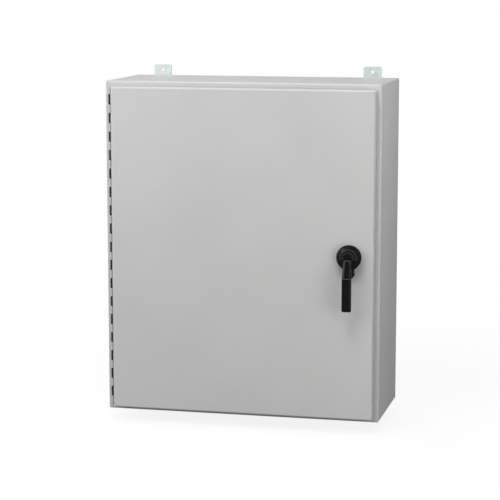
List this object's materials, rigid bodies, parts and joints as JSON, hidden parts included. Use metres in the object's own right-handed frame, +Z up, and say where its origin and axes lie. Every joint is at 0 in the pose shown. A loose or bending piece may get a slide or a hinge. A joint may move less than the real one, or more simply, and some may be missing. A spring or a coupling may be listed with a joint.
{
  "type": "steel wall enclosure",
  "caption": "Grey steel wall enclosure with a hinged overlay door on a continuous hinge, black lever handle driving latch rods, mounting feet and an inner panel.",
  "frame": {"origin": "centre of the wall bolt pattern, on the wall plane", "axes": "+X right seen from the front, +Y into the wall, +Z up"},
  "size_m": [0.762, 0.3942, 0.9744],
  "materials": {
    "grey_paint": "satin powder coat",
    "white_paint": "satin powder coat",
    "zinc_steel": "zinc plated",
    "dark_steel": "black oxide",
    "black_cast": "semi-gloss black over cast metal",
    "black_rubber": "matt foam",
    "bush_brass": "machined",
    "roller_nylon": "natural nylon"
  },
  "bodies": {
    "enclosure": {"body_ground_nut": "zinc_steel", "body_ground_stud": "zinc_steel", "body_ground_washer": "zinc_steel", "enclosure_body": "grey_paint", "foot_nuts": "zinc_steel", "foot_seal_washers": "black_rubber", "hinge_body_leaf": "grey_paint", "hinge_pin": "zinc_steel", "mounting_foot_lower_left": "zinc_steel", "mounting_foot_lower_right": "zinc_steel", "mounting_foot_upper_left": "zinc_steel", "mounting_foot_upper_right": "zinc_steel", "mounting_panel": "white_paint", "panel_collar_studs": "zinc_steel", "panel_nuts": "zinc_steel", "panel_washers": "zinc_steel"},
    "door": {"door_panel": "grey_paint", "door_gasket": "black_rubber", "door_stiffener": "grey_paint", "door_ground_stud": "zinc_steel", "door_ground_washer": "zinc_steel", "door_ground_nut": "zinc_steel", "hinge_door_leaf": "dark_steel", "handle_base": "black_cast", "handle_seal": "black_rubber", "handle_screws": "zinc_steel", "spindle_bush": "bush_brass", "bush_nut": "bush_brass", "rod_guide_lower_inner": "zinc_steel", "rod_guide_lower_outer": "zinc_steel", "rod_guide_upper_inner": "zinc_steel", "rod_guide_upper_outer": "zinc_steel"},
    "latch": {"handle_lever": "black_cast", "latch_spindle": "zinc_steel", "latch_cam": "zinc_steel", "cam_washer": "zinc_steel", "cam_screw": "zinc_steel", "crank_pins": "zinc_steel"},
    "upper_rod": {"latch_rod_upper": "zinc_steel", "roller_pin_upper": "zinc_steel"},
    "lower_rod": {"latch_rod_lower": "zinc_steel", "roller_pin_lower": "zinc_steel"},
    "upper_roller": {"roller_upper": "roller_nylon"},
    "lower_roller": {"roller_lower": "roller_nylon"}
  },
  "joints": [
    {"name": "door_swing", "type": "hinge", "parent": "enclosure", "child": "door", "pos_m": [-0.3688, -0.31135, 0], "axis": [0, 0, -1], "range_deg": [0, 170]},
    {"name": "handle_turn", "type": "hinge", "parent": "door", "child": "latch", "pos_m": [0.3048, -0.3422, 0], "axis": [0, 1, 0], "range_deg": [0, 90]},
    {"name": "upper_rod_slide", "type": "slide", "parent": "door", "child": "upper_rod", "axis": [0, 0, 1], "range_m": [0, 0.02829]},
    {"name": "lower_rod_slide", "type": "slide", "parent": "door", "child": "lower_rod", "axis": [0, 0, -1], "range_m": [0, 0.02829]},
    {"name": "upper_roller_spin", "type": "hinge", "parent": "upper_rod", "child": "upper_roller", "pos_m": [0.28766, -0.2948, 0.4077], "axis": [1, 0, 0], "continuous": true},
    {"name": "lower_roller_spin", "type": "hinge", "parent": "lower_rod", "child": "lower_roller", "pos_m": [0.32194, -0.2948, -0.4077], "axis": [1, 0, 0], "continuous": true}
  ],
  "couplings": [
    {"joint": "upper_rod_slide", "follows": "handle_turn", "m_per_rad": 0.018006},
    {"joint": "lower_rod_slide", "follows": "handle_turn", "m_per_rad": 0.018006}
  ]
}
